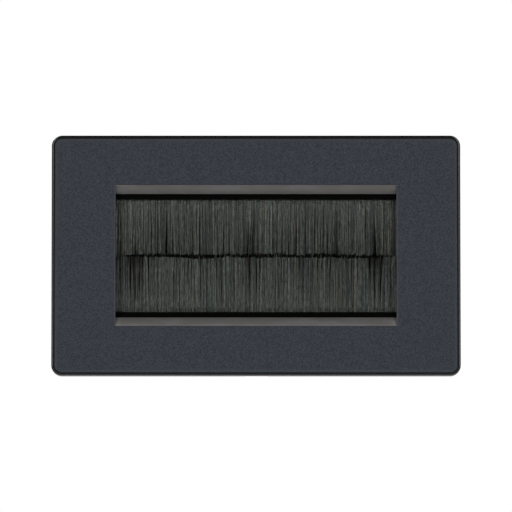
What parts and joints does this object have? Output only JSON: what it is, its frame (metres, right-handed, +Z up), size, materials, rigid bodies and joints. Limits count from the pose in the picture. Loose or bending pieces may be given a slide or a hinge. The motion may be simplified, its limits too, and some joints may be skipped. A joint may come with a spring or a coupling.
{
  "type": "brush cable grommet",
  "caption": "Twin flat wall plate with a wide rectangular opening closed by two facing strips of nylon bristle, for passing cables through a wall.",
  "frame": {"origin": "midway between the two wall box screws, in the plane of the wall", "axes": "+X across the plate, +Z up, +Y into the wall, so that the front faces -Y"},
  "size_m": [0.146, 0.0282, 0.086],
  "materials": {
    "painted_plate": "anthracite satin paint with a fine grain",
    "foam_tape": "matte foam tape",
    "black_moulding": "satin black moulding",
    "frame_moulding": "fine textured moulding",
    "plated_screw": "bright zinc plating",
    "nylon_washer": "natural nylon",
    "rail_aluminium": "satin grey anodised extrusion",
    "channel_steel": "black coated folded steel",
    "core_wire": "galvanised wire",
    "nylon_bristle": "fine dark grey nylon filament",
    "cheek_nylon": "black nylon moulding"
  },
  "bodies": {
    "root": {"front_plate": "painted_plate", "adhesive_gasket": "foam_tape", "plate_carrier": "black_moulding", "mounting_frame": "frame_moulding", "left_fixing_screw": "plated_screw", "right_fixing_screw": "plated_screw", "left_screw_washer": "nylon_washer", "right_screw_washer": "nylon_washer", "upper_rail": "rail_aluminium", "lower_rail": "rail_aluminium", "upper_channel": "channel_steel", "lower_channel": "channel_steel", "upper_core_wire": "core_wire", "lower_core_wire": "core_wire", "upper_bristles": "nylon_bristle", "lower_bristles": "nylon_bristle", "left_end_cheek": "cheek_nylon", "right_end_cheek": "cheek_nylon", "left_upper_cheek_screw": "plated_screw", "left_lower_cheek_screw": "plated_screw", "right_upper_cheek_screw": "plated_screw", "right_lower_cheek_screw": "plated_screw"}
  },
  "joints": []
}
